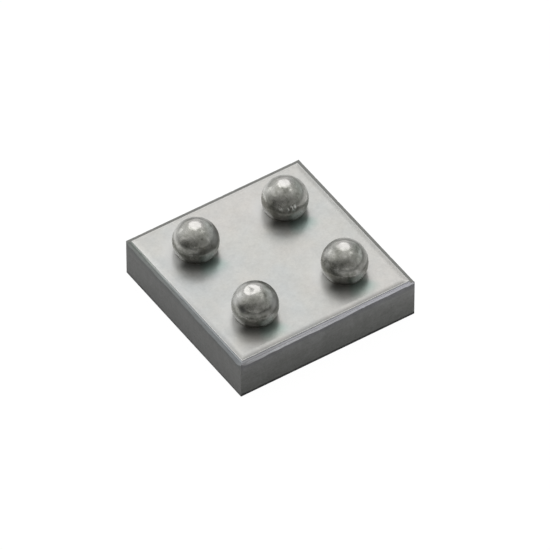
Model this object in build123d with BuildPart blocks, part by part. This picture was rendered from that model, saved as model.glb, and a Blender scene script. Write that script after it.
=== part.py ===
from build123d import *
from math import sqrt
import os

# Chip-scale power transistor: a bare square silicon die that carries four solder balls.
# Millimetres, +Z up, origin at the centre of the die's back, on which it rests balls up.

os.makedirs("parts", exist_ok=True)

# Die and the coats on it
die_side = 1.555
silicon_height = 0.331
back_metal_height = 0.002
oxide_height = 0.002
front_metal_height = 0.004
passivation_cover = 0.010  # over the front metal

# Rim: the bare ledge left by the saw street, and the soft edge of the passivation
street_width = 0.028
shoulder_width = 0.055
shoulder_drop = 0.007
rim_radius = 0.004

# Solder balls and the pads under them
ball_pitch = 0.800
ball_diameter = 0.360
pad_diameter = 0.310
pad_flange_height = 0.004
opening_diameter = 0.240  # of the passivation, at the front metal
opening_flare = 0.010  # how much wider the opening is at its top, on each side

# Front metal: a guard ring, a gate runner inside it, and a plate under each ball
ring_inset = 0.050  # from the edge of the passivation
ring_width = 0.018
runner_width = 0.014
metal_gap = 0.012
plate_margin = 0.030  # of a plate past its ball pad
metal_corner_radius = 0.005
contact_inset = 0.025  # of a contact window from the edge of its plate

# Levels, from the back of the die upwards
silicon_base = back_metal_height
silicon_top = silicon_base + silicon_height
oxide_top = silicon_top + oxide_height
metal_top = oxide_top + front_metal_height
passivation_top = metal_top + passivation_cover
pad_top = passivation_top + pad_flange_height

# Each ball is a sphere cut flat where it has wetted the whole of its pad
ball_radius = ball_diameter / 2
ball_lift = sqrt(ball_radius**2 - (pad_diameter / 2) ** 2)
half_pitch = ball_pitch / 2
ball_places = {
    "gate": (-half_pitch, half_pitch),
    "drain": (half_pitch, half_pitch),
    "source_1": (-half_pitch, -half_pitch),
    "source_2": (half_pitch, -half_pitch),
}

# Outlines of the front metal, worked inwards from the edge of the passivation
film_side = die_side - 2 * street_width
ring_side = film_side - 2 * ring_inset
runner_side = ring_side - 2 * (ring_width + metal_gap)
source_side = runner_side - 2 * (runner_width + metal_gap)
plate_start = half_pitch - pad_diameter / 2 - plate_margin  # from the middle lines of the die
gate_plate_side = runner_side / 2 - plate_start
drain_plate_side = ring_side / 2 - plate_start
gate_plate_middle = (-(runner_side / 2 + plate_start) / 2, (runner_side / 2 + plate_start) / 2)
drain_plate_middle = ((ring_side / 2 + plate_start) / 2, (ring_side / 2 + plate_start) / 2)
gate_clear_side = gate_plate_side + 2 * metal_gap
drain_clear_side = drain_plate_side + 2 * metal_gap

with BuildSketch(Plane.XY.offset(oxide_top)) as drain_outline:
    Rectangle(ring_side, ring_side)
    Rectangle(ring_side - 2 * ring_width, ring_side - 2 * ring_width, mode=Mode.SUBTRACT)
    with Locations(drain_plate_middle):
        Rectangle(drain_plate_side, drain_plate_side)
    fillet(drain_outline.vertices(), radius=metal_corner_radius)

with BuildSketch(Plane.XY.offset(oxide_top)) as gate_outline:
    Rectangle(runner_side, runner_side)
    Rectangle(runner_side - 2 * runner_width, runner_side - 2 * runner_width, mode=Mode.SUBTRACT)
    with Locations(gate_plate_middle):
        Rectangle(gate_plate_side, gate_plate_side)
    with Locations(drain_plate_middle):
        Rectangle(drain_clear_side, drain_clear_side, mode=Mode.SUBTRACT)
    fillet(gate_outline.vertices(), radius=metal_corner_radius)

with BuildSketch(Plane.XY.offset(oxide_top)) as source_outline:
    Rectangle(source_side, source_side)
    with Locations(gate_plate_middle):
        Rectangle(gate_clear_side, gate_clear_side, mode=Mode.SUBTRACT)
    with Locations(drain_plate_middle):
        Rectangle(drain_clear_side, drain_clear_side, mode=Mode.SUBTRACT)
    fillet(source_outline.vertices(), radius=metal_corner_radius)

# Contact windows, where the source and drain plates reach down to the silicon
with BuildSketch(Plane.XY.offset(silicon_top)) as source_window:
    add(source_outline.sketch_local)
    offset(amount=-contact_inset, kind=Kind.INTERSECTION)

with BuildSketch(Plane.XY.offset(silicon_top)) as drain_window:
    with Locations(drain_plate_middle):
        Rectangle(drain_plate_side - 2 * contact_inset, drain_plate_side - 2 * contact_inset)

# Back metal, the thin coat that the die rests on
with BuildPart() as back_metal:
    with BuildSketch(Plane.XY):
        Rectangle(die_side, die_side)
    extrude(amount=back_metal_height)

back_metal.part.label = "back_metal"
export_step(back_metal.part, "parts/back_metal.step")

# Silicon, a sawn block
with BuildPart() as silicon_die:
    with BuildSketch(Plane.XY.offset(silicon_base)):
        Rectangle(die_side, die_side)
    extrude(amount=silicon_height)

silicon_die.part.label = "silicon_die"
export_step(silicon_die.part, "parts/silicon_die.step")

# Field oxide, out to the sawn edge, open at the contact windows
with BuildPart() as field_oxide:
    with BuildSketch(Plane.XY.offset(silicon_top)):
        Rectangle(die_side, die_side)
    extrude(amount=oxide_height)
    extrude(source_window.sketch, amount=oxide_height, mode=Mode.SUBTRACT)
    extrude(drain_window.sketch, amount=oxide_height, mode=Mode.SUBTRACT)

field_oxide.part.label = "field_oxide"
export_step(field_oxide.part, "parts/field_oxide.step")

# Front metal
with BuildPart() as source_metal:
    extrude(source_outline.sketch, amount=front_metal_height)
    extrude(source_window.sketch, amount=oxide_height)

source_metal.part.label = "source_metal"
export_step(source_metal.part, "parts/source_metal.step")

with BuildPart() as drain_metal:
    extrude(drain_outline.sketch, amount=front_metal_height)
    extrude(drain_window.sketch, amount=oxide_height)

drain_metal.part.label = "drain_metal"
export_step(drain_metal.part, "parts/drain_metal.step")

with BuildPart() as gate_metal:
    extrude(gate_outline.sketch, amount=front_metal_height)

gate_metal.part.label = "gate_metal"
export_step(gate_metal.part, "parts/gate_metal.step")

# Passivation: a film over the front metal that thins towards its rim, with a flared opening
# for each ball
with BuildPart() as passivation:
    with BuildSketch(Plane.XY.offset(oxide_top)):
        Rectangle(film_side, film_side)
    extrude(amount=passivation_top - oxide_top - shoulder_drop)
    with BuildSketch(Plane.XY.offset(passivation_top - shoulder_drop)):
        Rectangle(film_side, film_side)
    with BuildSketch(Plane.XY.offset(passivation_top)):
        Rectangle(film_side - 2 * shoulder_width, film_side - 2 * shoulder_width)
    loft()
    corner_edges = passivation.edges().filter_by(Axis.Z)
    rim_edges = passivation.edges().filter_by_position(
        Axis.Z, passivation_top - shoulder_drop, passivation_top - shoulder_drop
    )
    fillet(corner_edges + rim_edges, radius=rim_radius)
    extrude(source_outline.sketch, amount=front_metal_height, mode=Mode.SUBTRACT)
    extrude(drain_outline.sketch, amount=front_metal_height, mode=Mode.SUBTRACT)
    extrude(gate_outline.sketch, amount=front_metal_height, mode=Mode.SUBTRACT)
    with Locations(*[(x, y, metal_top) for x, y in ball_places.values()]):
        Cone(
            opening_diameter / 2,
            opening_diameter / 2 + opening_flare,
            passivation_cover,
            align=(Align.CENTER, Align.CENTER, Align.MIN),
            mode=Mode.SUBTRACT,
        )

passivation.part.label = "passivation"
export_step(passivation.part, "parts/passivation.step")

# Ball pads: each fills its opening down to the front metal and laps over the film round it
for name, (x, y) in ball_places.items():
    with BuildPart(Plane(origin=(x, y, metal_top))) as ball_pad:
        Cone(
            opening_diameter / 2,
            opening_diameter / 2 + opening_flare,
            passivation_cover,
            align=(Align.CENTER, Align.CENTER, Align.MIN),
        )
        with BuildSketch(Plane(origin=(x, y, passivation_top))):
            Circle(pad_diameter / 2)
        extrude(amount=pad_flange_height)
    ball_pad.part.label = f"ball_pad_{name}"
    export_step(ball_pad.part, f"parts/ball_pad_{name}.step")

# Solder balls
for name, (x, y) in ball_places.items():
    with BuildPart(Plane(origin=(x, y, pad_top + ball_lift))) as solder_ball:
        Sphere(ball_radius)
        split(bisect_by=Plane(origin=(x, y, pad_top)), keep=Keep.TOP)
    solder_ball.part.label = f"solder_ball_{name}"
    export_step(solder_ball.part, f"parts/solder_ball_{name}.step")
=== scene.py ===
"""Looks of a chip-scale power mosfet: a bare silicon die, ball side up, with four solder balls.

Everything is in metres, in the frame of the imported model. Sizes below are written in
millimetres and multiplied by MM.
"""

import math
import random

import bmesh
import bpy
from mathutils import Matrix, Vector, noise
from mathutils.geometry import delaunay_2d_cdt


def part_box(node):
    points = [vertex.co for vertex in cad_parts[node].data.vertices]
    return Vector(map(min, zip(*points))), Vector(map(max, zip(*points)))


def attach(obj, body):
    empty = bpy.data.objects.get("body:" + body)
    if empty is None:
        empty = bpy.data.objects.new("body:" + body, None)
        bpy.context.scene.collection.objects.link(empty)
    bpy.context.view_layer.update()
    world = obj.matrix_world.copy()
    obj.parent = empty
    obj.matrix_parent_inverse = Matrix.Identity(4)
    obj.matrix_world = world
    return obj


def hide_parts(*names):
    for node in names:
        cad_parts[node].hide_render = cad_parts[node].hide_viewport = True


MM = 0.001

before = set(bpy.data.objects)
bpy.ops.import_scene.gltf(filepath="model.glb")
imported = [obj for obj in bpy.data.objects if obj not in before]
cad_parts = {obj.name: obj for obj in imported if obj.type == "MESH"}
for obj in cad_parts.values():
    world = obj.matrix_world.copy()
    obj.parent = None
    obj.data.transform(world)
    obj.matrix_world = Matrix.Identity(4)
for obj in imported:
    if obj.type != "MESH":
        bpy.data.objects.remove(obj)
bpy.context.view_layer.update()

BALLS = ("gate", "drain", "source_1", "source_2")

# Film over the face: its rim is rounded and its shoulder slopes down gently, as on the solid
RIM_RADIUS = 0.004 * MM
SHOULDER_WIDTH = 0.055 * MM
SHOULDER_DROP = 0.007 * MM
OPENING_RADIUS = 0.120 * MM
OPENING_FLARE = 0.010 * MM
SHARPEST_CORNER = 0.0005 * MM

# Steps in the curves of the film and round the pads
RIM_STEPS = 6
SHOULDER_STEPS = 14
CORNER_STEPS = 8
OPENING_STEPS = 72
PAD_STEPS = 96

# Triangles of a flat face: this kind of result leaves the holes out, and points closer than this are one
HOLES_LEFT_OUT = 2
SAME_POINT = 1e-9

# Film at a ball's foot: azimuth and elevation of its painted shadow, of the shadow's greenish end and of a
# milky place of painted light
PAINTED_SHADOW_SIDE = (-22, 0)
GREEN_SHADOW_SIDE = (3, 0)
MILKY_LIT_SIDE = (-112, 0)

# Balls: the reflowed skin is pressed in a little by slow noise, which fades out at the foot
BALL_UNEVENNESS = 0.0012 * MM
BALL_NOISE_SCALE = 2.2
BALL_NOISE_SMOOTHNESS = 0.6
BALL_FADE_POWER = 8
BALL_RINGS = 96
BALL_SEGMENTS = 160

# The smooth crown of a ball: azimuth and elevation of its middle, and the share of the grain left on it
CROWN_SIDE = (150, 84)
CROWN_GRAIN = 0.15

# Painted shade on the balls, in place of dark reflections: azimuth and elevation of the side that its belt
# runs across and of the side that has less of it, and the belt's strength on each ball
SHADED_SIDE = (-33.7, 45.5)
LESS_SHADED_SIDE = (-123.7, 0)
SHADE_STRENGTH = {"gate": 0.60, "drain": 0.40, "source_1": 0.66, "source_2": 0.55}

# Paler, less metallic patches on a ball's skin, painted light where its reflections are too dark: azimuth and
# elevation of the middle, angular radius, strength and tone. They are full out to a third of the radius.
# Those at the foot are common to all balls. The last on source_1 is a dark spot instead
PAINTED_LIGHT_AT_FOOT = ((-92, -27, 31, 0.85, 0.90), (5, -12, 27, 0.50, 0.90))
PAINTED_LIGHT_PATCHES = {
    "gate": ((-120, 42, 34, 0.45, 0.75), (38, 32, 30, 0.60, 0.45)),
    "drain": ((-122, 42, 32, 0.30, 0.75),),
    "source_1": ((-125, 43, 38, 0.80, 0.85), (40, 34, 28, 0.65, 0.48), (-70, 26, 14, 0.80, 0.02)),
    "source_2": ((-127, 44, 34, 0.50, 0.75),),
}

# Clean specks on a ball's skin: azimuth and elevation of the place, and angular radius. They are full out to
# a third of it
SPECKS = {
    "drain": ((-11, 20, 13), (-26, 17, 8), (-42, 17, 9)),
    "source_1": ((-28, 24, 5),),
}

# Dents in a ball's skin: azimuth and elevation of the place, angular radius, and depth. The skin in them is
# as smooth as the crown, from the first share of the radius in, and fully from the second
DENTS = {
    "source_1": ((-104, 74.5, 18, 0.0090 * MM),),
}
DENT_SMOOTH = (1.4, 0.6)

# Sawn sides: the top edge is broken away most on the two sides in front.
# The sides go round from -Y. Each has places along it, from 0 to 1, with how far down and in the break goes.
# Slow noise along the side changes both by a share of the given range, and they fade out at its ends
BROKEN_EDGE = (
    (
        (0.0, 0.030, 0.003),
        (0.16, 0.026, 0.003),
        (0.26, 0.020, 0.004),
        (0.52, 0.020, 0.004),
        (0.66, 0.008, 0.013),
        (1.0, 0.007, 0.013),
    ),
    (
        (0.0, 0.002, 0.002),
        (1.0, 0.000, 0.000),
    ),
    (
        (0.0, 0.000, 0.000),
        (1.0, 0.001, 0.001),
    ),
    (
        (0.0, 0.018, 0.009),
        (0.5, 0.022, 0.011),
        (1.0, 0.028, 0.014),
    ),
)
BROKEN_WAVE = 0.13 * MM
BROKEN_SMOOTHNESS = 0.8
BROKEN_RANGE = (0.65, 1.25)
CORNER_FADE = 0.050 * MM

# Vertices on the sawn sides: the step along a side, and rows that lie closer together at bottom and top
WALL_STEP = 0.006 * MM
WALL_ROWS = 56
ROW_CROWDING = 0.12

# Chips: the range of their half-lengths, heights and depths, and how many and how large they are on each side
CHIP_LENGTHS = (0.006 * MM, 0.026 * MM)
CHIP_HEIGHTS = (0.004 * MM, 0.012 * MM)
CHIP_DEPTHS = (0.0015 * MM, 0.0045 * MM)
TOP_CHIPS = (30, 24, 24, 34)
TOP_CHIP_SHARE = (0.9, 0.45, 0.45, 1.0)
BOTTOM_CHIPS = 26

# Camera, fitted to the photograph. It aims a few pixels to the right of the object's middle and above it
CAMERA_AZIMUTH = -33.70
CAMERA_ELEVATION = 45.5
CAMERA_DISTANCE = 70 * MM
PIXELS_PER_MM = 133.66
FRAME_PIXELS = 550
SENSOR_WIDTH = 36.0
AIM_PIXELS = (4.89, 2.15)

# Light, seen from the object: azimuth, elevation, width and height in degrees, and radiance
LAMPS = (
    ("softbox", 153, 53, 44, 54, 1.05),
    ("strip", 207, 11, 14, 30, 1.05),
    ("spot", 60, 62, 10, 10, 1.9),
)
LAMP_DISTANCE = 300 * MM

# The room: azimuth, elevation, inner and outer angle in degrees, and tone
ROOM_DARK = (0.16, 0.16, 0.155)
ROOM = (
    (146.3, 70, 20, 80, (0.58, 0.58, 0.57)),
    (152, 0, 16, 42, (0.82, 0.82, 0.81)),
    (-34, 0, 6, 16, (0.36, 0.36, 0.35)),
    (-21, 4, 2, 8, (0.90, 0.90, 0.88)),
    (216, 40, 12, 50, (0.74, 0.74, 0.73)),
    (62, 25, 12, 50, (0.46, 0.47, 0.46)),
    (7, 15, 8, 35, (0.30, 0.30, 0.295)),
    (98, 2, 16, 46, (0.54, 0.57, 0.57)),
    (-89, 5, 6, 20, (0.02, 0.02, 0.018)),
    (0, -90, 84, 88, (1.0, 1.0, 1.0)),
)

# Floor: a hair below the object, white out to the first distance in millimetres and fading to the far tone
# at the second. The far tone is lighter on one side, given by its azimuth and elevation. Most of the floor's
# light is a glow of the given strength and share, and the rest is what a surface of the last tone gives back
FLOOR_REACH = 400 * MM
FLOOR_LEVEL = -0.001 * MM
FLOOR_FADE = (3.6, 8.0)
FLOOR_FAR = (0.42, 0.42, 0.42)
FLOOR_LIGHTER_SIDE = (165, 0)
FLOOR_LIGHTER = (0.85, 0.85, 0.84)
FLOOR_GLOW = 1.06
FLOOR_GLOW_SHARE = 0.92
FLOOR_SURFACE = (0.85, 0.85, 0.85)

random.seed(11)


def direction(azimuth, elevation):
    """Unit vector from the object towards an azimuth and an elevation, in degrees."""
    a, e = math.radians(azimuth), math.radians(elevation)
    return Vector((math.sin(a) * math.cos(e), -math.cos(a) * math.cos(e), math.sin(e)))


# Shader helpers


class Shader:
    """A material and its nodes. Texture vectors are in millimetres, in the object's own space."""

    def __init__(self, name):
        self.material = bpy.data.materials.new(name)
        self.material.use_nodes = True
        self.tree = self.material.node_tree
        self.tree.nodes.clear()
        self.output = self.node("ShaderNodeOutputMaterial")
        self.surface = self.node("ShaderNodeBsdfPrincipled")
        self.link(self.surface.outputs["BSDF"], self.output.inputs["Surface"])
        place = self.node("ShaderNodeMapping")
        place.inputs["Scale"].default_value = (1 / MM,) * 3
        self.link(self.node("ShaderNodeTexCoord").outputs["Object"], place.inputs["Vector"])
        self.place = place.outputs["Vector"]

    def node(self, kind, **values):
        made = self.tree.nodes.new(kind)
        for key, value in values.items():
            setattr(made, key, value)
        return made

    def link(self, source, target):
        self.tree.links.new(source, target)

    def put(self, value, target):
        """A socket is linked, a number or colour is set."""
        if isinstance(value, bpy.types.NodeSocket):
            self.link(value, target)
        elif isinstance(value, tuple) and len(value) == 3 and target.type == "RGBA":
            target.default_value = (*value, 1)
        else:
            target.default_value = value

    def math(self, operation, a, b=0.0, clamp=False):
        made = self.node("ShaderNodeMath", operation=operation, use_clamp=clamp)
        self.put(a, made.inputs[0])
        self.put(b, made.inputs[1])
        return made.outputs[0]

    def stretch(self, scale, offset=(0.0, 0.0, 0.0), turn=(0.0, 0.0, 0.0)):
        """The place vector, scaled along each axis, turned and moved."""
        made = self.node("ShaderNodeMapping")
        made.inputs["Rotation"].default_value = turn
        made.inputs["Scale"].default_value = scale
        made.inputs["Location"].default_value = offset
        self.link(self.place, made.inputs["Vector"])
        return made.outputs["Vector"]

    def noise(self, scale, detail=3.0, roughness=0.5, vector=None, distortion=0.0):
        made = self.node("ShaderNodeTexNoise")
        made.inputs["Scale"].default_value = scale
        made.inputs["Detail"].default_value = detail
        made.inputs["Roughness"].default_value = roughness
        made.inputs["Distortion"].default_value = distortion
        self.link(vector or self.place, made.inputs["Vector"])
        return made.outputs["Fac"]

    def axis(self, name, vector=None):
        """The X, Y or Z of a vector."""
        made = self.node("ShaderNodeSeparateXYZ")
        self.link(vector or self.place, made.inputs["Vector"])
        return made.outputs[name]

    def edge(self, half_side):
        """Distance in from the edge of a square, in millimetres."""
        x = self.math("ABSOLUTE", self.axis("X"))
        y = self.math("ABSOLUTE", self.axis("Y"))
        return self.math("SUBTRACT", half_side, self.math("MAXIMUM", x, y))

    def dot(self, vector, other):
        made = self.node("ShaderNodeVectorMath", operation="DOT_PRODUCT")
        self.link(vector, made.inputs[0])
        made.inputs[1].default_value = other
        return made.outputs["Value"]

    def polar(self, vector):
        """The unit vector along a vector, and its length."""
        unit = self.node("ShaderNodeVectorMath", operation="NORMALIZE")
        length = self.node("ShaderNodeVectorMath", operation="LENGTH")
        self.link(vector, unit.inputs[0])
        self.link(vector, length.inputs[0])
        return unit.outputs["Vector"], length.outputs["Value"]

    def add(self, *values):
        """The sum of several values."""
        total = values[0]
        for value in values[1:]:
            total = self.math("ADD", total, value)
        return total

    def times(self, *values):
        """The product of several values."""
        product = values[0]
        for value in values[1:]:
            product = self.math("MULTIPLY", product, value)
        return product

    def span(self, value, low, high, to_low=0.0, to_high=1.0, smooth=False):
        """A value's range from low to high, laid out on another range and held at its ends."""
        made = self.node("ShaderNodeMapRange", clamp=True)
        made.interpolation_type = "SMOOTHSTEP" if smooth else "LINEAR"
        self.put(value, made.inputs["Value"])
        for name, number in zip(("From Min", "From Max", "To Min", "To Max"), (low, high, to_low, to_high)):
            made.inputs[name].default_value = number
        return made.outputs["Result"]

    def near(self, vector, azimuth, elevation, outer, inner, to_low=0.0, to_high=1.0):
        """From one number to another as a unit vector comes nearer to a direction. Angles are in degrees."""
        nearness = self.dot(vector, direction(azimuth, elevation))
        low, high = math.cos(math.radians(outer)), math.cos(math.radians(inner))
        return self.span(nearness, low, high, to_low, to_high, smooth=True)

    def mix(self, factor, a, b):
        """From one number to another by a factor of 0 to 1."""
        made = self.node("ShaderNodeMix", data_type="FLOAT")
        self.put(factor, made.inputs["Factor"])
        self.put(a, made.inputs["A"])
        self.put(b, made.inputs["B"])
        return made.outputs["Result"]

    def mix_shaders(self, factor, a, b):
        made = self.node("ShaderNodeMixShader")
        self.put(factor, made.inputs["Fac"])
        self.link(a, made.inputs[1])
        self.link(b, made.inputs[2])
        return made.outputs[0]

    def blend(self, factor, a, b, kind="MIX"):
        """From one colour to another by a factor of 0 to 1."""
        made = self.node("ShaderNodeMix", data_type="RGBA", blend_type=kind)
        self.put(factor, made.inputs["Factor"])
        self.put(a, made.inputs["A"])
        self.put(b, made.inputs["B"])
        return made.outputs["Result"]

    def tint(self, color, other):
        """A colour multiplied by another."""
        return self.blend(1.0, color, other, "MULTIPLY")

    def ramp(self, value, *stops):
        """A colour for each value of 0 to 1, from pairs of a value and a colour."""
        made = self.node("ShaderNodeValToRGB")
        elements = made.color_ramp.elements
        while len(elements) < len(stops):
            elements.new(0.5)
        for element, (at, color) in zip(elements, stops):
            element.position = at
            element.color = (*color, 1)
        self.put(value, made.inputs["Fac"])
        return made.outputs["Color"]

    def grey(self, value):
        """A value as a grey colour."""
        made = self.node("ShaderNodeCombineColor")
        for channel in range(3):
            self.put(value, made.inputs[channel])
        return made.outputs["Color"]

    def bump(self, height, depth, normal=None):
        """Relief from a height of 0 to 1, with its depth in millimetres."""
        made = self.node("ShaderNodeBump")
        made.inputs["Strength"].default_value = 1.0
        made.inputs["Distance"].default_value = depth * MM
        self.link(height, made.inputs["Height"])
        if normal is not None:
            self.link(normal, made.inputs["Normal"])
        return made.outputs["Normal"]

    def finish(self, color, roughness, metallic, normal=None):
        self.put(color, self.surface.inputs["Base Color"])
        self.put(roughness, self.surface.inputs["Roughness"])
        self.put(metallic, self.surface.inputs["Metallic"])
        if normal is not None:
            self.link(normal, self.surface.inputs["Normal"])
        return self.material


# Materials


def from_nearest_ball(s):
    """On the face: the unit vector from the middle of the nearest ball, and the distance in millimetres."""
    low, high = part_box("ball_pad_drain")
    middle = (low.x + high.x) / 2 / MM
    offset = s.node("ShaderNodeCombineXYZ")
    for name, target in zip("XY", offset.inputs):
        value = s.axis(name)
        s.link(s.math("SUBTRACT", value, s.times(s.math("SIGN", value), middle)), target)
    return s.polar(offset.outputs[0])


def at_foot(s, unit, away, side, sector, reach, strength):
    """A place at one side of each ball's foot, which fades out to both sides and with the distance."""
    across = s.span(s.dot(unit, direction(*side)), *sector, smooth=True)
    return s.times(s.span(away, *reach, strength, 0.0, smooth=True), across)


def film_material():
    """Smooth pale passivation over metal, with faint warm and cool patches.

    Its shoulder is milky at the very rim. Painted shade darkens the shoulder along the -Y side, and painted
    light brightens it along the far sides. A thin painted shadow lies at one side of each ball's foot,
    greenish at its outer end, and a milky place of painted light lies at another side.
    """
    s = Shader("film")
    color = s.ramp(
        s.noise(1.6, detail=2.0),
        (0.30, (0.466, 0.480, 0.482)),
        (0.50, (0.485, 0.483, 0.465)),
        (0.70, (0.500, 0.488, 0.472)),
    )
    x, y = s.axis("X"), s.axis("Y")
    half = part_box("passivation")[1].x / MM
    inset = s.edge(half)
    # Painted shade and light on the shoulder: darker along the -Y side and at the front of the -X side,
    # lighter further back on the -X side and along the far sides
    shoulder = s.span(inset, 0.0, 0.046, 1.0, 0.0, smooth=True)
    right = s.span(s.math("SUBTRACT", x, y), -0.03, 0.03)
    far = s.span(s.math("MAXIMUM", x, y), half - 0.05, half - 0.02)
    near_left = s.span(y, -half, 0.6, 0.62, 1.14)
    shoulder_light_and_shade = s.mix(far, s.mix(right, near_left, 0.58), 1.18)
    color = s.tint(color, s.grey(s.mix(shoulder, 1.0, shoulder_light_and_shade)))
    mottle = s.add(s.times(s.noise(22.0, detail=4.0), 0.5), s.times(s.noise(70.0, detail=2.0), 0.5))
    color = s.tint(color, s.grey(s.span(mottle, 0.3, 0.7, 0.92, 1.08)))
    clouds = s.ramp(s.noise(7.5, detail=3.0), (0.3, (0.955, 0.965, 0.975)), (0.7, (1.0, 0.99, 0.98)))
    color = s.tint(color, clouds)
    unit, away = from_nearest_ball(s)
    # Painted shadow at one side of each ball's foot, dark near the ball and fading outwards
    painted_shadow = at_foot(s, unit, away, PAINTED_SHADOW_SIDE, (0.45, 0.85), (0.17, 0.26), 0.55)
    color = s.blend(painted_shadow, color, (0.02, 0.02, 0.018))
    # The painted shadow's greenish outer end, which also darkens the film there
    green_shadow = at_foot(s, unit, away, GREEN_SHADOW_SIDE, (0.84, 0.98), (0.22, 0.34), 0.9)
    color = s.blend(green_shadow, color, (0.70, 0.87, 0.83), "MULTIPLY")
    # A milky, less metallic place at another side of each foot: painted light that lifts the shadow there
    milky_light = at_foot(s, unit, away, MILKY_LIT_SIDE, (0.60, 0.92), (0.16, 0.29), 0.85)
    color = s.blend(milky_light, color, (0.70, 0.70, 0.69))
    rim = s.span(inset, 0.002, 0.007, 1.0, 0.0, smooth=True)
    color = s.blend(rim, color, (0.84, 0.84, 0.83))
    roughness = s.span(s.noise(5.0, detail=4.0), 0.3, 0.7, 0.28, 0.34)
    metallic = s.mix(s.math("MAXIMUM", rim, milky_light), 0.70, 0.25)
    normal = s.bump(s.noise(9.0, detail=3.0), 0.0005)
    return s.finish(color, roughness, metallic, normal)


def ball_shape(name):
    """A ball's centre and radius, and the height of its flat foot."""
    low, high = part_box(f"solder_ball_{name}")
    radius = (high.x - low.x) / 2
    centre = Vector(((low.x + high.x) / 2, (low.y + high.y) / 2, high.z - radius))
    return centre, radius, low.z


def painted_ball_shade(s, name, around, blotches):
    """How dark a ball's painted shade is: in a belt across one side, and at the foot."""
    stray = s.math("SUBTRACT", blotches, 0.5)
    height = s.axis("Z", around)
    front = s.span(s.dot(around, direction(SHADED_SIDE[0], 0)), 0.66, 0.90, 0.05, 0.42, smooth=True)
    level = s.add(height, s.times(stray, 0.5))
    foot = s.times(s.span(level, 0.12, -0.06, smooth=True), front)
    facing = s.dot(around, direction(*SHADED_SIDE))
    across = s.add(s.times(facing, height), s.times(stray, 0.16))
    belt = s.times(s.span(across, 0.46, 0.36, smooth=True), s.span(across, 0.04, 0.11, smooth=True))
    belt = s.times(belt, s.span(s.dot(around, direction(*LESS_SHADED_SIDE)), 0.90, 0.50, 0.25, 1.0, smooth=True))
    return s.add(foot, s.times(belt, SHADE_STRENGTH[name]))


def solder_material(name, offset, turn):
    """Reflowed solder: dull mottled grey with a metallic shine, painted shade across one side, painted light
    in patches.
    """
    s = Shader(name)
    at = s.stretch((1.0, 1.0, 1.0), offset)
    streaks = s.stretch((1.0, 0.55, 1.0), offset, turn)
    grains = s.noise(20.0, detail=3.5, roughness=0.60, vector=streaks, distortion=0.8)
    fine_grains = s.noise(52.0, detail=2.0, roughness=0.6, vector=at)
    blotches = s.noise(9.0, detail=3.0, roughness=0.5, vector=at, distortion=0.6)
    color = s.ramp(
        s.add(s.times(grains, 0.45), s.times(blotches, 0.35), s.times(fine_grains, 0.20)),
        (0.36, (0.22, 0.22, 0.195)),
        (0.46, (0.42, 0.42, 0.385)),
        (0.55, (0.56, 0.555, 0.52)),
        (0.65, (0.74, 0.73, 0.70)),
    )

    # The smooth crown, and dents that are as smooth. Off them, grain_share is 1
    centre, radius, _ = ball_shape(name)
    around = s.stretch((MM / radius,) * 3, tuple(-centre / radius))
    grain_share = s.span(s.dot(around, direction(*CROWN_SIDE)), 0.89, 0.98, 1.0, CROWN_GRAIN, smooth=True)
    for azimuth, elevation, width, _ in DENTS.get(name, ()):
        outer, inner = (share * width for share in DENT_SMOOTH)
        dent = s.near(around, azimuth, elevation, outer, inner, 1.0, CROWN_GRAIN)
        grain_share = s.math("MINIMUM", grain_share, dent)
    color = s.blend(s.span(grain_share, CROWN_GRAIN, 1.0, 0.75, 0.0), color, (0.515, 0.502, 0.494))
    # Painted shade: a dark belt across one side and a darker foot, in place of dark reflections
    dark = painted_ball_shade(s, name, around, blotches)
    color = s.blend(dark, color, (0.035, 0.036, 0.030))

    # Painted light in paler, less metallic patches, a dark spot on one ball, and clean specks
    metallic = 1.0
    for azimuth, elevation, width, strength, tone in (*PAINTED_LIGHT_AT_FOOT, *PAINTED_LIGHT_PATCHES[name]):
        patch = s.near(around, azimuth, elevation, width, width / 3, 0.0, strength)
        patch = s.times(patch, s.span(grain_share, CROWN_GRAIN, 1.0), s.span(blotches, 0.35, 0.6, 0.7, 1.0))
        color = s.blend(patch, color, (tone, tone, 0.98 * tone))
        metallic = s.math("SUBTRACT", metallic, patch, clamp=True)
    specks = 0.0
    for azimuth, elevation, width in SPECKS.get(name, ()):
        speck = s.near(around, azimuth, elevation, width, width / 3)
        speck = s.times(speck, s.span(fine_grains, 0.45, 0.53))
        specks = s.math("ADD", specks, speck, clamp=True)
    color = s.blend(specks, color, (0.95, 0.95, 0.92))

    roughness = s.add(s.span(grains, 0.35, 0.65, 0.32, 0.24), s.times(dark, 0.08))
    roughness = s.math("SUBTRACT", roughness, s.span(grain_share, CROWN_GRAIN, 1.0, 0.11, 0.0))
    lumps = s.bump(s.times(s.noise(13.0, detail=2.0, vector=at), grain_share), 0.0012)
    crinkle = s.noise(36.0, detail=2.0, vector=at, distortion=1.2)
    wrinkles = s.bump(s.times(crinkle, specks), 0.013, lumps)
    normal = s.bump(s.times(grains, grain_share), 0.0011, wrinkles)
    return s.finish(color, roughness, metallic, normal)


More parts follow.
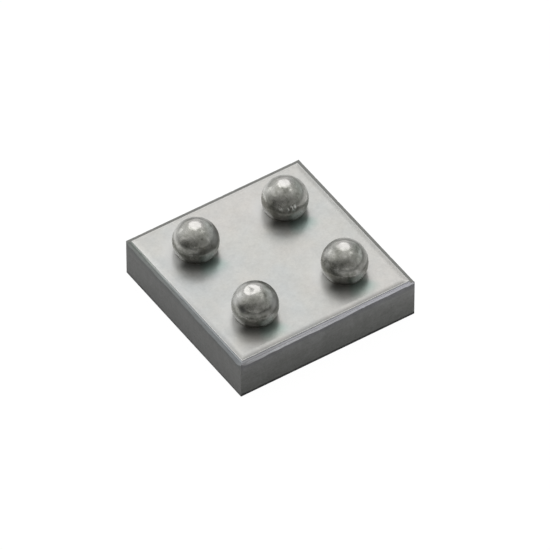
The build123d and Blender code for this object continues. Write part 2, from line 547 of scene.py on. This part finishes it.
def silicon_material():
    """Sawn silicon: dark grey, finely mottled, with a pale broken top edge and a dark line at the bottom."""
    s = Shader("silicon")
    mottle = s.noise(11.0, detail=5.0, roughness=0.65)
    grit = s.noise(60.0, detail=3.0, roughness=0.6)
    saw_lines = s.noise(1.0, detail=4.0, roughness=0.7, vector=s.stretch((2.0, 2.0, 90.0)))
    tone = s.add(s.times(mottle, 0.5), s.times(grit, 0.3), s.times(saw_lines, 0.2))
    color = s.ramp(
        tone,
        (0.34, (0.165, 0.167, 0.163)),
        (0.50, (0.230, 0.231, 0.227)),
        (0.66, (0.300, 0.300, 0.303)),
    )
    x, y = s.axis("X"), s.axis("Y")
    right = s.span(s.math("SUBTRACT", x, y), -0.01, 0.01)
    height = s.span(s.axis("Z"), 0.02, 0.33)
    # Painted shade: the sides darker towards the bottom, by different amounts on the left and the right side
    left_shade = s.ramp(
        height,
        (0.0, (0.71, 0.71, 0.71)),
        (0.5, (0.83, 0.83, 0.83)),
        (0.75, (0.85, 0.85, 0.85)),
        (0.86, (0.73, 0.75, 0.75)),
    )
    right_shade = s.ramp(
        height,
        (0.0, (0.70, 0.71, 0.69)),
        (0.5, (0.88, 0.88, 0.87)),
        (0.80, (1.10, 1.10, 1.11)),
        (0.89, (0.96, 0.95, 1.02)),
    )
    color = s.tint(color, s.blend(right, left_shade, right_shade))
    # Painted light: each side lighter towards one of its ends
    painted_lighter_ends = s.mix(right, s.span(y, 0.3, 0.7, 1.0, 1.08), s.span(x, -0.75, 0.75, 0.86, 1.10))
    color = s.tint(color, s.grey(painted_lighter_ends))
    stray = s.times(s.math("SUBTRACT", s.noise(14.0, detail=4.0), 0.5), 0.020)
    bottom = s.span(s.add(s.axis("Z"), stray), 0.012, 0.036, 1.0, 0.0, smooth=True)
    bottom = s.times(bottom, s.mix(right, 0.60, 0.95))
    color = s.blend(bottom, color, (0.010, 0.010, 0.010))
    # The broken top edge where it faces up: a pale lavender-grey fracture, made far paler than the silicon as
    # painted highlight
    upward = s.axis("Z", s.node("ShaderNodeNewGeometry").outputs["Normal"])
    broken = s.span(upward, 0.05, 0.14, smooth=True)
    left_edge_glint = s.ramp(s.span(y, -0.78, 0.78), (0.0, (0.380, 0.400, 0.420)), (1.0, (0.345, 0.365, 0.352)))
    right_edge_glint = s.ramp(
        s.span(x, -0.78, 0.78),
        (0.0, (0.400, 0.395, 0.405)),
        (0.09, (0.840, 0.840, 0.880)),
        (0.30, (0.920, 0.920, 0.960)),
        (0.50, (0.890, 0.890, 0.940)),
        (0.62, (0.800, 0.800, 0.860)),
        (1.0, (0.790, 0.790, 0.850)),
    )
    color = s.blend(broken, color, s.blend(right, left_edge_glint, right_edge_glint))
    s.surface.inputs["Specular IOR Level"].default_value = 0.15
    roughness = s.span(mottle, 0.3, 0.7, 0.42, 0.58)
    return s.finish(color, roughness, bottom, s.bump(tone, 0.0020))


def oxide_material():
    """Thin oxide on the ledge: greenish, bluish or lavender by its thickness, with painted shade along the
    far sides.
    """
    s = Shader("oxide")
    x, y = s.axis("X"), s.axis("Y")
    inset = s.edge(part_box("field_oxide")[1].x / MM)
    stray = s.times(s.math("SUBTRACT", s.noise(6.0, detail=3.0), 0.5), 0.5)
    left = s.ramp(
        s.span(s.add(y, stray), -0.78, 0.78),
        (0.0, (0.258, 0.275, 0.293)),
        (0.5, (0.232, 0.247, 0.254)),
        (0.82, (0.205, 0.222, 0.210)),
        (0.95, (0.130, 0.145, 0.133)),
        (1.0, (0.100, 0.110, 0.102)),
    )
    # Painted shade and light across the ledge on the left: darker at its outer edge, lighter at the film's
    # foot, most of all towards the back
    shade = s.mix(s.span(inset, 0.013, 0.026), s.span(y, -0.6, 0.4, 0.66, 0.80), 1.60)
    shade = s.mix(s.span(inset, 0.0215, 0.026), shade, s.span(y, -0.1, 0.25, 1.55, 3.00))
    left = s.tint(left, s.grey(shade))
    right = s.ramp(
        s.span(s.add(x, stray), -0.78, 0.78),
        (0.0, (0.320, 0.322, 0.340)),
        (0.2, (0.390, 0.390, 0.415)),
        (1.0, (0.440, 0.440, 0.490)),
    )
    # Painted light and shade across the ledge on the right: its outer edge darker towards the front corner
    # and lighter towards the right corner, its inner part lighter at the film's foot, and all of it darker
    # near the front corner
    outer = s.mix(s.span(x, 0.10, 0.25), 0.68, 1.50)
    shade = s.mix(s.span(inset, 0.005, 0.016), outer, 0.87)
    shade = s.mix(s.span(inset, 0.022, 0.027), shade, s.span(x, -0.76, -0.60, 1.55, 1.15))
    shade = s.times(shade, s.span(x, -0.76, -0.55, 0.84, 1.0))
    right = s.tint(right, s.grey(shade))
    # Painted shade along the far sides: there the ledge is a dark grey
    dark = s.ramp(s.noise(8.0), (0.3, (0.165, 0.167, 0.158)), (0.7, (0.200, 0.200, 0.190)))
    near = s.blend(s.span(s.math("SUBTRACT", x, y), -0.02, 0.02), left, right)
    away = s.span(s.math("MAXIMUM", x, y), 0.742, 0.752, smooth=True)
    color = s.blend(away, near, dark)
    roughness = s.span(s.noise(20.0), 0.3, 0.7, 0.30, 0.40)
    return s.finish(color, roughness, 0.35)


def nickel_material():
    """Plated pads, hardly seen under the balls."""
    s = Shader("nickel")
    color = s.ramp(s.noise(30.0, detail=4.0), (0.35, (0.30, 0.29, 0.26)), (0.65, (0.45, 0.44, 0.40)))
    return s.finish(color, 0.4, 1.0, s.bump(s.noise(60.0), 0.0005))


def aluminium_material():
    """Sputtered front metal, with the fine grain of a hot-deposited film."""
    s = Shader("aluminium")
    grain = s.noise(160.0, detail=2.0)
    color = s.ramp(grain, (0.35, (0.66, 0.66, 0.65)), (0.65, (0.80, 0.80, 0.79)))
    return s.finish(color, 0.35, 1.0, s.bump(grain, 0.0004))


def back_material():
    """Thin silver coat over the ground back: fine grinding lines all one way, dark on its upright faces."""
    s = Shader("back_coat")
    lines = s.noise(1.0, detail=5.0, roughness=0.7, vector=s.stretch((4.0, 120.0, 4.0)))
    cloud = s.noise(3.0, detail=3.0)
    color = s.ramp(lines, (0.30, (0.42, 0.41, 0.395)), (0.70, (0.60, 0.59, 0.575)))
    downward = s.math("ABSOLUTE", s.axis("Z", s.node("ShaderNodeNewGeometry").outputs["Normal"]))
    color = s.blend(s.span(downward, 0.2, 0.8, 1.0, 0.0), color, (0.02, 0.02, 0.02))
    roughness = s.span(cloud, 0.3, 0.7, 0.30, 0.42)
    return s.finish(color, roughness, 1.0, s.bump(lines, 0.0008))


# Meshes


def add_piece(name, mesh, node, material):
    """A new piece that stands for a node of the model."""
    mesh.materials.append(material)
    piece = bpy.data.objects.new(name, mesh)
    bpy.context.scene.collection.objects.link(piece)
    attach(piece, "root")
    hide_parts(node)


def to_mesh(bm, name):
    """A mesh from the finished geometry, which is freed."""
    mesh = bpy.data.meshes.new(name)
    bm.to_mesh(mesh)
    bm.free()
    return mesh


def circle(bm, x, y, z, radius, steps):
    """A ring of vertices round a vertical axis."""
    turns = [math.tau * i / steps for i in range(steps)]
    return [bm.verts.new((x + radius * math.cos(turn), y + radius * math.sin(turn), z)) for turn in turns]


def band(bm, lower, upper):
    """A band of faces between two rings of as many vertices."""
    for j in range(len(lower)):
        k = (j + 1) % len(lower)
        bm.faces.new((lower[j], lower[k], upper[k], upper[j]))


def bands(bm, rings):
    """Bands of faces from each ring to the next."""
    for lower, upper in zip(rings, rings[1:]):
        band(bm, lower, upper)


def slow_noise(place, smoothness):
    """Noise round 0.5, in four octaves."""
    return 0.5 + 0.5 * noise.fractal(place, smoothness, 2.0, 4)


def ball_mesh(name, seed):
    """A sphere cut flat at its foot, its skin pressed in a little by slow noise and by its dents."""
    centre, radius, foot_height = ball_shape(name)
    foot = math.acos((foot_height - centre.z) / radius)
    shift = Vector((seed * 7.3, seed * 3.1, seed * 5.7))
    bm = bmesh.new()
    top = bm.verts.new(centre + Vector((0, 0, radius)))
    rings = []
    for i in range(1, BALL_RINGS + 1):
        polar = foot * i / BALL_RINGS
        fade = 1 - (i / BALL_RINGS) ** BALL_FADE_POWER
        ring = []
        for j in range(BALL_SEGMENTS):
            turn = math.tau * j / BALL_SEGMENTS
            around = Vector((math.cos(turn), math.sin(turn), 0)) * math.sin(polar)
            out = around + Vector((0, 0, math.cos(polar)))
            depth = BALL_UNEVENNESS * slow_noise(out * BALL_NOISE_SCALE + shift, BALL_NOISE_SMOOTHNESS) * fade
            for azimuth, elevation, width, deep in DENTS.get(name, ()):
                away = math.degrees(out.angle(direction(azimuth, elevation))) / width
                if away < 1:
                    depth += deep * (1 - away * away) ** 2
            ring.append(bm.verts.new(centre + out * (radius - depth)))
        rings.append(ring)
    for j in range(BALL_SEGMENTS):
        k = (j + 1) % BALL_SEGMENTS
        bm.faces.new((top, rings[0][j], rings[0][k]))
        for upper, lower in zip(rings, rings[1:]):
            bm.faces.new((upper[j], lower[j], lower[k], upper[k]))
    for face in bm.faces:
        face.smooth = True
    bm.faces.new(list(reversed(rings[-1])))
    return to_mesh(bm, f"ball_{name}")


def pad_mesh(name):
    """A plated pad, which fills the film's flared opening and laps over the film round it."""
    low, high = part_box(f"ball_pad_{name}")
    x, y = (low.x + high.x) / 2, (low.y + high.y) / 2
    film_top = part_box("passivation")[1].z
    radius = (high.x - low.x) / 2
    profile = (
        (OPENING_RADIUS, low.z),
        (OPENING_RADIUS + OPENING_FLARE, film_top),
        (radius, film_top),
        (radius, high.z),
    )
    bm = bmesh.new()
    rings = [circle(bm, x, y, z, r, PAD_STEPS) for r, z in profile]
    bands(bm, rings)
    bm.faces.new(list(reversed(rings[0])))
    bm.faces.new(rings[-1])
    return to_mesh(bm, f"pad_{name}")


def film_profile(low, high):
    """The film's edge as pairs of inset and height, from its foot over the rim and up the shoulder."""
    wall_top = high - SHOULDER_DROP - RIM_RADIUS
    profile = [(0.0, low)]
    for i in range(RIM_STEPS + 1):
        turn = math.pi / 2 * i / RIM_STEPS
        profile.append((RIM_RADIUS * (1 - math.cos(turn)), wall_top + RIM_RADIUS * math.sin(turn)))
    for i in range(1, SHOULDER_STEPS + 1):
        t = i / SHOULDER_STEPS
        inset = RIM_RADIUS + (SHOULDER_WIDTH - RIM_RADIUS) * t
        rise = math.sin(math.pi / 2 * t)
        profile.append((inset, high - SHOULDER_DROP * (1 - rise)))
    return profile


def rounded_square(bm, half, z, radius):
    """A ring of vertices round a square with rounded corners."""
    reach = half - radius
    ring = []
    for quarter in range(4):
        middle = math.pi / 4 + math.pi / 2 * quarter
        x = math.copysign(reach, math.cos(middle))
        y = math.copysign(reach, math.sin(middle))
        for i in range(CORNER_STEPS + 1):
            turn = math.pi / 2 * (quarter + i / CORNER_STEPS)
            ring.append(bm.verts.new((x + radius * math.cos(turn), y + radius * math.sin(turn), z)))
    return ring


def flat_faces(bm, outer, holes, up):
    """Flat faces from an outer ring in to the rings of the holes, facing up or down."""
    loops = [outer, *holes]
    verts = [v for loop in loops for v in loop]
    edges, start = [], 0
    for loop in loops:
        edges += [(start + j, start + (j + 1) % len(loop)) for j in range(len(loop))]
        start += len(loop)
    points = [Vector((v.co.x / MM, v.co.y / MM)) for v in verts]
    _, _, faces, _, _, _ = delaunay_2d_cdt(points, edges, [], HOLES_LEFT_OUT, SAME_POINT)
    for face in faces:
        corners = [verts[i] for i in face]
        bm.faces.new(corners if up else corners[::-1])


def film_mesh():
    """The passivation film: a square slab with a soft rim and four flared openings."""
    low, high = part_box("passivation")
    metal_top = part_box("ball_pad_gate")[0].z
    bm = bmesh.new()
    rings = []
    for inset, z in film_profile(low.z, high.z):
        radius = max(RIM_RADIUS - inset, SHARPEST_CORNER)
        rings.append(rounded_square(bm, high.x - inset, z, radius))
    bands(bm, rings)
    top_holes, bottom_holes = [], []
    for name in BALLS:
        pad_low, pad_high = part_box(f"ball_pad_{name}")
        x, y = (pad_low.x + pad_high.x) / 2, (pad_low.y + pad_high.y) / 2
        flared = (high.z, OPENING_RADIUS + OPENING_FLARE)
        profile = (flared, (metal_top, OPENING_RADIUS), (low.z, OPENING_RADIUS))
        hole = [circle(bm, x, y, z, radius, OPENING_STEPS) for z, radius in profile]
        bands(bm, hole)
        top_holes.append(hole[0])
        bottom_holes.append(hole[-1])
    for face in bm.faces:
        face.smooth = True
    flat_faces(bm, rings[-1], top_holes, up=True)
    flat_faces(bm, rings[0], bottom_holes, up=False)
    return to_mesh(bm, "film")


def side_chips(length, count, share=1.0):
    """Chips along one edge of a side: their places, half-lengths, heights and depths."""
    ranges = (CHIP_LENGTHS, CHIP_HEIGHTS, CHIP_DEPTHS)
    chips = []
    for _ in range(count):
        size = random.random() ** 2
        spread = [share * (low + (high - low) * size) for low, high in ranges]
        chips.append((random.uniform(0, length), *spread))
    return chips


def chip_depth(chips, along, away):
    """How deep the chips cut in at a place along the edge and away from it."""
    depth = 0.0
    for place, half_length, height, deep in chips:
        u = (along - place) / half_length
        v = away / height
        if u * u + v * v < 1:
            depth = max(depth, deep * math.sqrt(1 - u * u - v * v))
    return depth


def broken_edge(side, along, length):
    """How far down and how far in the sawn top edge is broken away, at a place along one side."""
    t = along / length
    for (start, *low), (end, *high) in zip(BROKEN_EDGE[side], BROKEN_EDGE[side][1:]):
        if start <= t <= end:
            share = (t - start) / (end - start)
            down, inward = (a + (b - a) * share for a, b in zip(low, high))
            break
    least, most = BROKEN_RANGE
    wave = slow_noise(Vector((side * 9.7, along / BROKEN_WAVE, 0.3)), BROKEN_SMOOTHNESS)
    corner = min(1.0, along / CORNER_FADE, (length - along) / CORNER_FADE)
    uneven = (least + (most - least) * wave) * math.sin(math.pi / 2 * corner) * MM
    return down * uneven, inward * uneven


def wall_heights(low, high):
    """Heights of the rows of vertices, closer together at the bottom and at the top."""
    heights = []
    for i in range(WALL_ROWS + 1):
        t = i / WALL_ROWS
        heights.append(low + (high - low) * (t - ROW_CROWDING * math.sin(math.tau * t)))
    return heights


def wall_columns(bm, side, start, along, length):
    """Columns of vertices along one side, cut in where its edges are broken and chipped."""
    low, high = (corner.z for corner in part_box("silicon_die"))
    heights = wall_heights(low, high)
    inward = Vector((-along.y, along.x, 0))
    top = side_chips(length, TOP_CHIPS[side], TOP_CHIP_SHARE[side])
    bottom = side_chips(length, BOTTOM_CHIPS)
    count = round(length / WALL_STEP)
    columns = []
    for c in range(count):
        place = length * c / count
        corner_fade = min(1.0, place / (2 * WALL_STEP), (length - place) / (2 * WALL_STEP))
        drop, inset = broken_edge(side, place, length)
        slope = inset / max(drop, 1e-9)
        column = []
        for z in heights:
            cut = max(0.0, z - (high - drop)) * slope
            cut += chip_depth(top, place, high - z) + chip_depth(bottom, place, z - low)
            point = start + along * place + inward * cut * corner_fade
            column.append(bm.verts.new((point.x, point.y, z)))
        columns.append(column)
    return columns


def silicon_mesh():
    """The sawn block, its top edge broken and chipped all round. The outline of its top is given too."""
    low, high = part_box("silicon_die")
    length = high.x - low.x
    places = ((low.x, low.y), (high.x, low.y), (high.x, high.y), (low.x, high.y))
    corners = [Vector((x, y, 0)) for x, y in places]
    bm = bmesh.new()
    sides = []
    for side, (start, end) in enumerate(zip(corners, corners[1:] + corners[:1])):
        sides.append(wall_columns(bm, side, start, (end - start).normalized(), length))
    columns = [column for side in sides for column in side]
    pairs = list(zip(columns, columns[1:] + columns[:1]))
    for a, b in pairs:
        for j in range(WALL_ROWS):
            bm.faces.new((a[j], b[j], b[j + 1], a[j + 1]))
    bm.faces.new([column[-1] for column in columns])
    bm.faces.new([column[0] for column in reversed(columns)])
    for face in bm.faces:
        face.smooth = len(face.verts) == 4
    for side in sides:
        for a, b in zip(side[0], side[0][1:]):
            bm.edges.get((a, b)).smooth = False
    for a, b in pairs:
        bm.edges.get((a[0], b[0])).smooth = False
        bm.edges.get((a[-1], b[-1])).smooth = False
    outline = [(column[-1].co.x, column[-1].co.y) for column in columns]
    return to_mesh(bm, "silicon"), outline


def oxide_mesh(outline):
    """The oxide plate, out to the broken edge of the silicon under it."""
    low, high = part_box("field_oxide")
    bm = bmesh.new()
    lower = [bm.verts.new((x, y, low.z)) for x, y in outline]
    upper = [bm.verts.new((x, y, high.z)) for x, y in outline]
    band(bm, lower, upper)
    bm.faces.new(upper)
    bm.faces.new(list(reversed(lower)))
    return to_mesh(bm, "oxide")


def dress_object():
    """New materials on the nodes that stay, and new pieces for the others."""
    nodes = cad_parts
    aluminium = aluminium_material()
    kept = {
        "back_metal": back_material(),
        "source_metal": aluminium,
        "gate_metal": aluminium,
        "drain_metal": aluminium,
    }
    for name, material in kept.items():
        nodes[name].data.materials.clear()
        nodes[name].data.materials.append(material)
    silicon, outline = silicon_mesh()
    add_piece("sawn_die", silicon, "silicon_die", silicon_material())
    add_piece("edge_oxide", oxide_mesh(outline), "field_oxide", oxide_material())
    add_piece("face_film", film_mesh(), "passivation", film_material())
    nickel = nickel_material()
    for i, name in enumerate(BALLS):
        add_piece(f"pad_{name}", pad_mesh(name), f"ball_pad_{name}", nickel)

        # Each ball's grain is another part of the same noise, turned another way
        offset = (3.7 * i + 1.3, 2.1 * i, 1.7 * i)
        turn = (0.5 + i, 0.3 * i, 1.1 * i)
        solder = solder_material(name, offset, turn)
        add_piece(f"ball_{name}", ball_mesh(name, i + 1), f"solder_ball_{name}", solder)


# Studio


def add_floor():
    """A wide floor, white round the object and pale grey far off, in the camera's view and in gloss.

    A part of it takes light as any surface does, which keeps the object's shadow. From below it is clear.
    """
    mesh = bpy.data.meshes.new("floor")
    r = FLOOR_REACH
    corners = [(x, y, FLOOR_LEVEL) for x, y in ((-r, -r), (r, -r), (r, r), (-r, r))]
    mesh.from_pydata(corners, [], [(0, 1, 2, 3)])
    s = Shader("floor")
    s.tree.nodes.remove(s.surface)
    unit, away = s.polar(s.place)
    lighter = s.span(s.dot(unit, direction(*FLOOR_LIGHTER_SIDE)), 0.1, 0.8, smooth=True)
    far_tone = s.blend(lighter, FLOOR_FAR, FLOOR_LIGHTER)
    tone = s.blend(s.span(away, *FLOOR_FADE, smooth=True), (1.0, 1.0, 1.0), far_tone)
    glow = s.node("ShaderNodeEmission")
    glow.inputs["Strength"].default_value = FLOOR_GLOW
    s.link(tone, glow.inputs["Color"])
    diffuse = s.node("ShaderNodeBsdfDiffuse")
    s.link(s.tint(tone, FLOOR_SURFACE), diffuse.inputs["Color"])
    path = s.node("ShaderNodeLightPath")
    seen = s.add(path.outputs["Is Camera Ray"], path.outputs["Is Glossy Ray"])
    seen = s.math("ADD", seen, path.outputs["Is Transmission Ray"], clamp=True)
    lit = s.mix_shaders(s.times(seen, FLOOR_GLOW_SHARE), diffuse.outputs[0], glow.outputs[0])
    below = s.node("ShaderNodeNewGeometry").outputs["Backfacing"]
    clear = s.node("ShaderNodeBsdfTransparent").outputs[0]
    s.link(s.mix_shaders(below, lit, clear), s.output.inputs["Surface"])
    mesh.materials.append(s.material)
    floor = bpy.data.objects.new("floor", mesh)
    bpy.context.scene.collection.objects.link(floor)


def add_lamp(name, azimuth, elevation, width, height, radiance):
    """An elliptical lamp of even radiance, facing the object. Width and height are angles seen from it."""
    data = bpy.data.lights.new(name, "AREA")
    data.shape = "ELLIPSE"
    data.size = 2 * LAMP_DISTANCE * math.tan(math.radians(width / 2))
    data.size_y = 2 * LAMP_DISTANCE * math.tan(math.radians(height / 2))
    area = math.pi / 4 * data.size * data.size_y
    data.energy = radiance * math.pi * area
    lamp = bpy.data.objects.new(name, data)
    toward = direction(azimuth, elevation)
    lamp.location = toward * LAMP_DISTANCE
    lamp.rotation_mode = "QUATERNION"
    lamp.rotation_quaternion = (-toward).to_track_quat("-Z", "Y")
    bpy.context.scene.collection.objects.link(lamp)


def add_world():
    """A grey room, laid out as patches of tone round the object, each with a soft edge."""
    world = bpy.data.worlds.new("room")
    bpy.context.scene.world = world
    world.use_nodes = True
    tree = world.node_tree
    coords = tree.nodes.new("ShaderNodeTexCoord").outputs["Generated"]
    color = None
    for azimuth, elevation, inner, outer, tone in ROOM:
        dot = tree.nodes.new("ShaderNodeVectorMath")
        dot.operation = "DOT_PRODUCT"
        dot.inputs[1].default_value = direction(azimuth, elevation)
        tree.links.new(coords, dot.inputs[0])
        span = tree.nodes.new("ShaderNodeMapRange")
        span.interpolation_type = "SMOOTHSTEP"
        span.inputs["From Min"].default_value = math.cos(math.radians(outer))
        span.inputs["From Max"].default_value = math.cos(math.radians(inner))
        tree.links.new(dot.outputs["Value"], span.inputs["Value"])
        mix = tree.nodes.new("ShaderNodeMix")
        mix.data_type = "RGBA"
        tree.links.new(span.outputs["Result"], mix.inputs["Factor"])
        if color is None:
            mix.inputs["A"].default_value = (*ROOM_DARK, 1)
        else:
            tree.links.new(color, mix.inputs["A"])
        mix.inputs["B"].default_value = (*tone, 1)
        color = mix.outputs["Result"]
    tree.links.new(color, tree.nodes["Background"].inputs["Color"])


def add_camera():
    """The camera from which the photograph was taken, with the object at the same place in the picture."""
    back = direction(CAMERA_AZIMUTH, CAMERA_ELEVATION)
    right = direction(CAMERA_AZIMUTH + 90, 0)
    up = back.cross(right)
    middle = Vector((0, 0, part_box("field_oxide")[1].z / 2))
    data = bpy.data.cameras.new("camera")
    data.sensor_width = SENSOR_WIDTH
    data.lens = SENSOR_WIDTH * PIXELS_PER_MM * (CAMERA_DISTANCE / MM) / FRAME_PIXELS
    data.clip_start = 1 * MM
    data.clip_end = 10
    camera = bpy.data.objects.new("camera", data)
    aim_right, aim_up = (pixels / PIXELS_PER_MM * MM for pixels in AIM_PIXELS)
    camera.location = middle + right * aim_right + up * aim_up + back * CAMERA_DISTANCE
    camera.rotation_mode = "QUATERNION"
    camera.rotation_quaternion = (-back).to_track_quat("-Z", "Y")
    bpy.context.scene.collection.objects.link(camera)
    bpy.context.scene.camera = camera


dress_object()
add_floor()
for lamp in LAMPS:
    add_lamp(*lamp)
add_world()
add_camera()
bpy.context.scene.view_settings.view_transform = "Standard"
